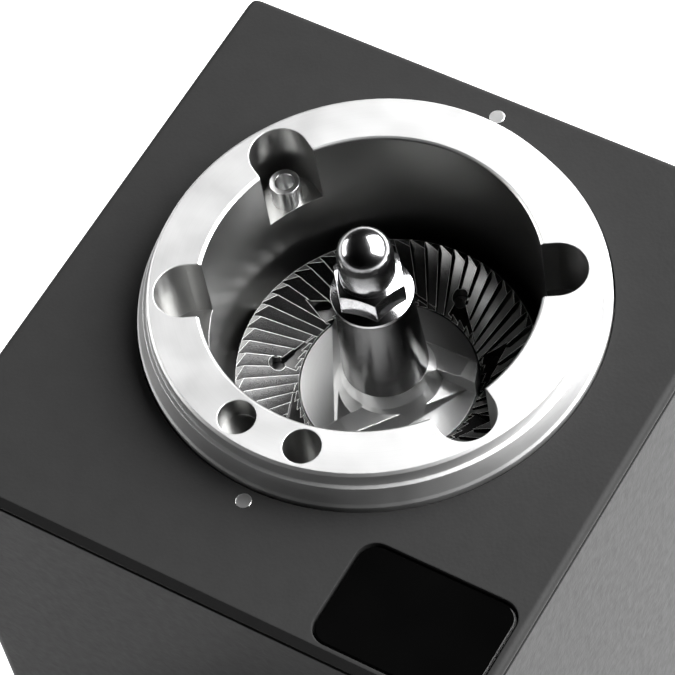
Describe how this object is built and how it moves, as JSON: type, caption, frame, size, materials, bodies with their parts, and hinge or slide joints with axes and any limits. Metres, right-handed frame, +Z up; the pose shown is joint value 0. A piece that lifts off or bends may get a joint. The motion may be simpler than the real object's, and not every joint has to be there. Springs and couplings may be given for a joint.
{
  "type": "burr coffee grinder",
  "caption": "Upright burr coffee grinder with an open steel grinding chamber, flat lower burr, vertical motor, front spout, cup fork and top display.",
  "frame": {"origin": "centre of the base's footprint on the standing surface", "axes": "+Z up, -Y to the front where the spout is, +X to the right seen from the front"},
  "size_m": [0.116, 0.18, 0.3133],
  "materials": {
    "black_coat": "matt fine-textured powder coat",
    "cast_black": "matt powder coat on cast metal",
    "bright_aluminium": "bright turned face",
    "dark_steel": "blackened screw steel",
    "black_silicone": "matt silicone",
    "black_rubber": "matt rubber",
    "machined_aluminium": "fine machined",
    "turned_steel": "satin turned stainless",
    "polished_steel": "polished stainless",
    "burr_steel": "ground tool steel",
    "dark_polished_steel": "dark polished steel",
    "chrome": "mirror",
    "ground_steel": "ground",
    "lamination_steel": "stacked laminations",
    "copper_wire": "enamelled copper",
    "motor_can_steel": "zinc plated",
    "cast_aluminium": "as cast",
    "black_plastic": "fine texture",
    "gloss_black_plastic": "gloss",
    "dark_anodised": "anodised",
    "display_glass": "glossy black cover glass, opaque",
    "circuit_board": "solder mask",
    "component_plastic": "moulded components",
    "brass": "turned"
  },
  "bodies": {
    "body": {"top_cover": "black_coat", "index_dots": "bright_aluminium", "housing": "black_coat", "rear_panel": "black_coat", "rear_screws": "dark_steel", "base": "cast_black", "cup_mat": "black_silicone", "feet": "black_rubber", "base_screws": "dark_steel", "frame_posts": "machined_aluminium", "cover_posts": "machined_aluminium", "motor_plate": "machined_aluminium", "chamber": "turned_steel", "locating_pin": "polished_steel", "chamber_screws": "dark_steel", "shaft_seal": "black_rubber", "stator": "lamination_steel", "windings": "copper_wire", "motor_can": "motor_can_steel", "upper_bell": "cast_aluminium", "lower_bell": "cast_aluminium", "bearing_outers": "ground_steel", "motor_screws": "dark_steel", "chute": "cast_black", "spout": "cast_black", "spout_screws": "dark_steel", "button_bezel": "dark_anodised", "button_switch": "black_plastic", "display_glass": "display_glass", "display_board": "circuit_board", "rocker_housing": "black_plastic", "mains_inlet": "black_plastic", "control_board": "circuit_board", "board_parts": "component_plastic", "board_standoffs": "brass"},
    "rotor": {"lower_burr": "burr_steel", "burr_screws": "dark_steel", "burr_carrier": "polished_steel", "centre_column": "dark_polished_steel", "cap_nut": "chrome", "motor_shaft": "ground_steel", "rotor_core": "lamination_steel", "bearing_inners": "ground_steel", "cooling_fan": "black_plastic"},
    "fork": {"cup_fork": "cast_black", "fork_nut": "machined_aluminium"},
    "knob": {"fork_knob": "black_plastic"},
    "button": {"start_button": "machined_aluminium"},
    "rocker": {"power_rocker": "gloss_black_plastic"}
  },
  "joints": [
    {"name": "burr_spin", "type": "hinge", "parent": "body", "child": "rotor", "pos_m": [0, 0.0378, 0.192], "axis": [0, 0, 1], "continuous": true},
    {"name": "fork_slide", "type": "slide", "parent": "body", "child": "fork", "axis": [0, 0, 1], "range_m": [-0.018, 0.018]},
    {"name": "fork_knob_turn", "type": "hinge", "parent": "fork", "child": "knob", "pos_m": [0, -0.04, 0.1115], "axis": [0, -1, 0], "range_deg": [0, 270]},
    {"name": "start_press", "type": "slide", "parent": "body", "child": "button", "axis": [0, 1, 0], "range_m": [0, 0.002], "stiffness_N_per_m": 600, "springref_m": -0.001},
    {"name": "power_rock", "type": "hinge", "parent": "body", "child": "rocker", "pos_m": [0.02, 0.0854, 0.04], "axis": [1, 0, 0], "range_deg": [0, 18]}
  ]
}
